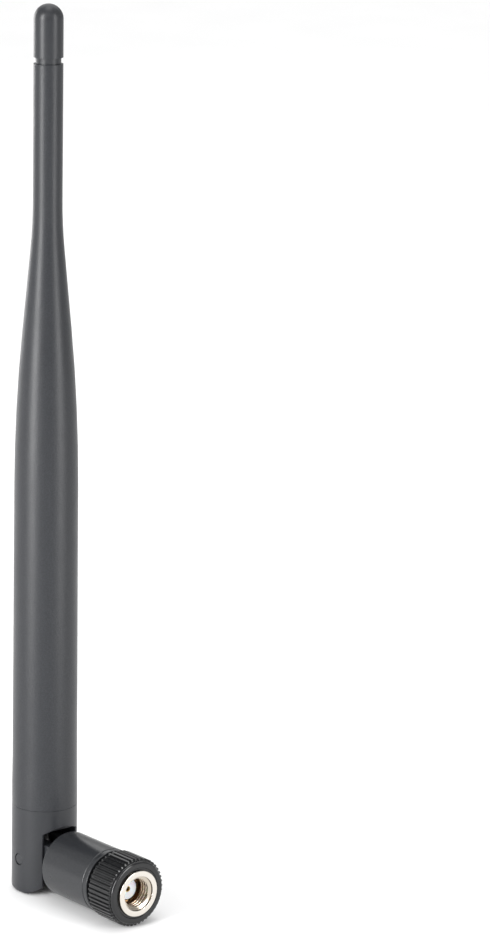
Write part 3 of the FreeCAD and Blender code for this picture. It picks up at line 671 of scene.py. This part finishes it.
def knurled_cover():
    low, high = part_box("knurled_cover")
    nut_low, nut_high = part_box("coupling_nut")
    count = RIB_COUNT * RIB_SAMPLES
    flange_r = (nut_high.y - nut_low.y) / 2
    flange_start = nut_high.x - NUT_FLANGE
    rib_end = high.x - COVER_LIP
    face = high.x - COVER_STEP
    rear = outline([
        (low.x, COVER_WEB_R), (low.x, RIB_ROOT_R, COVER_REAR_EDGE), (rib_end, RIB_ROOT_R),
    ])
    front = outline([
        (rib_end, RIB_ROOT_R), (rib_end, COVER_LIP_R), (high.x, COVER_LIP_R, COVER_LIP_EDGE),
        (high.x, COVER_STEP_R, SMALL_EDGE), (face, COVER_STEP_R - COVER_STEP),
        (face, flange_r, SMALL_EDGE), (flange_start, flange_r),
    ])
    rings = round_rings(rear[:-1], count)
    rings += rib_rings(low.x + COVER_REAR_EDGE, rib_end, count)
    rings += round_rings(front[1:], count)
    rings += [(flange_start, hex_radii(count)), (nut_low.x, hex_radii(count))]
    rings += round_rings([(nut_low.x, COVER_WEB_R)], count)
    mesh = mesh_from_rings("knurled_shell", "X", rings)
    add_piece(mesh, "nut", "knurl_plastic", "knurled_cover")


def thread_radii(along, front, rear):
    """Radius of the helical thread's bore at one station, fading out towards the rear."""
    phase = np.mod((front - along) / THREAD_PITCH + angles(SEGMENTS) / (2 * math.pi), 1)
    from_crest = np.abs(phase - 0.5) * 2
    groove = np.clip((1 - THREAD_CREST_SHARE - from_crest) / (1 - 2 * THREAD_CREST_SHARE), 0, 1)
    runout = min(1.0, (along - rear) / (THREAD_RUNOUT * THREAD_PITCH))
    return THREAD_MINOR_R + (THREAD_MAJOR_R - THREAD_MINOR_R) * groove * runout


def thread_rings(cone_start, front, rear):
    """Rings of the bore from the lead-in cone to the thread's rear end."""
    cone_slope = (MOUTH_R - THREAD_MINOR_R) / LEAD_IN
    stations = math.ceil(THREAD_TURNS * THREAD_STATIONS)
    rings = []
    for i in range(1, stations + 1):
        along = cone_start - i / stations * (cone_start - rear)
        cone = MOUTH_R - cone_slope * (cone_start - along)
        rings.append((along, np.maximum(thread_radii(along, front, rear), cone)))
    return rings


def coupling_nut():
    low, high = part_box("coupling_nut")
    flange_r = (high.y - low.y) / 2
    flange_start = high.x - NUT_FLANGE
    cone_start = high.x - MOUTH_DEPTH
    thread_front = cone_start - LEAD_IN
    thread_rear = thread_front - THREAD_TURNS * THREAD_PITCH
    collar_end = low.x + NUT_COLLAR
    close_r = COLLAR_R + NUT_RUNNING
    face = outline([
        (flange_start, flange_r), (high.x, flange_r, FACE_EDGE), (high.x, MOUTH_R, SMALL_EDGE),
        (cone_start, MOUTH_R),
    ])
    relief = outline([
        (thread_rear, RELIEF_R), (collar_end, RELIEF_R), (collar_end, close_r, SMALL_EDGE),
        (low.x, close_r),
    ])
    rings = round_rings([(low.x, close_r)], SEGMENTS)
    rings += [(low.x, hex_radii(SEGMENTS)), (flange_start, hex_radii(SEGMENTS))]
    rings += round_rings(face, SEGMENTS)
    rings += thread_rings(cone_start, thread_front, thread_rear)
    rings += round_rings(relief[:-1], SEGMENTS)
    mesh = mesh_from_rings("threaded_nut", "X", rings)
    add_piece(mesh, "nut", "nickel", "coupling_nut")


# ---- Studio --------------------------------------------------------------------------------
FLOOR_SIZE = 12.0
SKY_STRENGTH = 0.53
LIGHT_POWER = 4              # watts for a square metre of light at a radiance of 1
TARGET = Vector((WHIP_X, 0, 70 * MM))
# Name, turn from the camera's side, height, width and length, distance, radiance, and whether
# it faces straight down; the others face the whip.
SOFTBOXES = (
    ("key", -47 * DEG, 0.30, (0.24, 0.60), 0.80, 13.0, False),
    ("key_low", -47 * DEG, 0.04, (0.10, 0.09), 0.26, 4.4, False),
    ("fill", 56 * DEG, 0.30, (0.22, 0.60), 0.80, 5.4, False),
    ("fill_low", 56 * DEG, 0.04, (0.10, 0.09), 0.26, 2.9, False),
    ("left", -100 * DEG, 0.20, (0.50, 0.60), 0.90, 0.35, False),
    ("rim", -138 * DEG, 0.15, (0.40, 0.50), 0.90, 3.0, False),
    ("above", 0, 1.8, (1.0, 1.0), 0.0, 1.8, True),
    ("far", 180 * DEG, 1.6, (3.0, 2.4), 1.9, 0.86, True),
    ("near", 0, 1.6, (3.0, 2.4), 2.6, 0.6, True),
)


def floor():
    """Pale seamless floor."""
    mesh = bpy.data.meshes.new("studio_floor")
    half = FLOOR_SIZE / 2
    corners = [(-half, -half, FOOT), (half, -half, FOOT), (half, half, FOOT), (-half, half, FOOT)]
    mesh.from_pydata(corners, [], [(0, 1, 2, 3)])
    piece = bpy.data.objects.new("studio_floor", mesh)
    bpy.context.scene.collection.objects.link(piece)
    finish = Finish("studio_floor", specular=0.2)
    paper = finish.noise(40 * MM, detail=3)
    finish.colour(paper, NOISE_SPREAD, (0.874, 0.874, 0.874), (0.886, 0.886, 0.886))
    finish.roughness(paper, NOISE_SPREAD, (0.7, 0.8))
    mesh.materials.append(finish.material)


def softbox(name, turn, height, size, distance, radiance, faces_down):
    """Rectangular light; turn is its angle from the camera's side."""
    light = bpy.data.lights.new(name, "AREA")
    light.shape = "RECTANGLE"
    light.size, light.size_y = size
    light.energy = LIGHT_POWER * radiance * size[0] * size[1]
    lamp = bpy.data.objects.new(name, light)
    azimuth = CAMERA_AZIMUTH + turn
    lamp.location = Vector((
        TARGET.x + distance * math.sin(azimuth), TARGET.y - distance * math.cos(azimuth), height,
    ))
    if not faces_down:
        lamp.rotation_mode = "QUATERNION"
        lamp.rotation_quaternion = (lamp.location - TARGET).to_track_quat("Z", "Y")
    lamp.visible_camera = False
    bpy.context.scene.collection.objects.link(lamp)


def studio():
    world = bpy.data.worlds.new("studio")
    world.use_nodes = True
    background = world.node_tree.nodes["Background"]
    background.inputs["Color"].default_value = (1, 1, 1, 1)
    background.inputs["Strength"].default_value = SKY_STRENGTH
    bpy.context.scene.world = world
    bpy.context.scene.view_settings.view_transform = "Standard"
    for light in SOFTBOXES:
        softbox(*light)
    floor()


def camera():
    data = bpy.data.cameras.new("camera")
    data.sensor_width = CAMERA_SENSOR
    data.lens = CAMERA_LENS
    data.clip_start = 0.02
    data.clip_end = 50
    eye = bpy.data.objects.new("camera", data)
    turn = Matrix.Rotation(CAMERA_AZIMUTH, 4, "Z")
    pitch = Matrix.Rotation(math.pi / 2 - CAMERA_PITCH, 4, "X")
    roll = Matrix.Rotation(CAMERA_ROLL, 4, "Z")
    eye.matrix_world = Matrix.Translation(CAMERA_PLACE) @ turn @ pitch @ roll
    bpy.context.scene.collection.objects.link(eye)
    bpy.context.scene.camera = eye


camera()
finish_frame()
radome()
tip_cap()
hinge_pin("left")
hinge_pin("right")
coax_bend()
barrel()
connector_bush()
knurled_cover()
coupling_nut()
studio()
